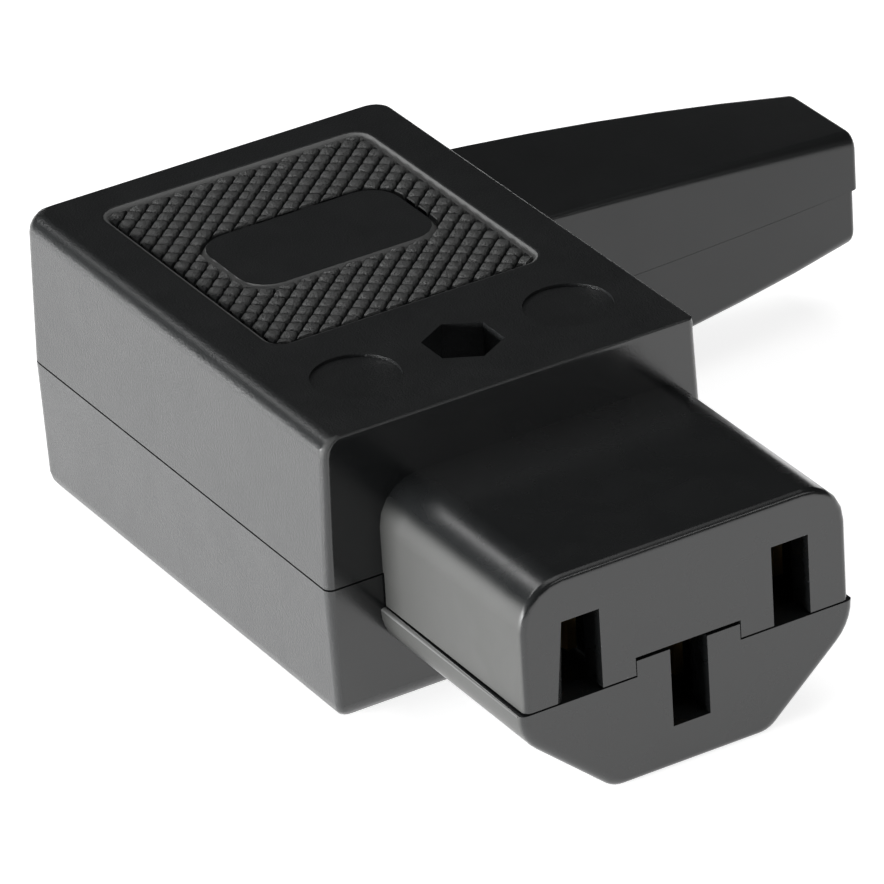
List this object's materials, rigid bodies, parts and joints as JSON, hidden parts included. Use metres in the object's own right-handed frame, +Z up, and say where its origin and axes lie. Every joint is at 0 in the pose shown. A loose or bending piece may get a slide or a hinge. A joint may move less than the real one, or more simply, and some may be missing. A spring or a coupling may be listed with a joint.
{
  "type": "right angle power connector",
  "caption": "Rewireable right-angle C13 appliance connector: slotted nose, screwed two-part housing with a ribbed top, and a tapering side arm for the cord.",
  "frame": {"origin": "middle of the engagement face, midway between the line and neutral slots", "axes": "-Y out of the engagement face towards the inlet, +X along the row of slots towards the cord arm, +Z up through the ribbed top, -Z out of the flat base"},
  "size_m": [0.0524, 0.0512, 0.0186],
  "materials": {
    "housing": "fine spark-eroded grain, smoother on the nose",
    "clamp_bar": "plain moulded",
    "contacts": "bright stamped strip",
    "steel_fittings": "zinc plated"
  },
  "bodies": {
    "root": {"lower_housing": "housing", "upper_housing": "housing", "line_contact": "contacts", "neutral_contact": "contacts", "earth_contact": "contacts", "line_contact_spring": "steel_fittings", "neutral_contact_spring": "steel_fittings", "earth_contact_spring": "steel_fittings", "line_clamp_plate": "steel_fittings", "neutral_clamp_plate": "steel_fittings", "earth_clamp_plate": "steel_fittings", "line_terminal_screw": "steel_fittings", "neutral_terminal_screw": "steel_fittings", "earth_terminal_screw": "steel_fittings", "cord_clamp": "clamp_bar", "front_clamp_screw": "steel_fittings", "rear_clamp_screw": "steel_fittings", "housing_screw": "steel_fittings", "housing_nut": "steel_fittings"}
  },
  "joints": []
}
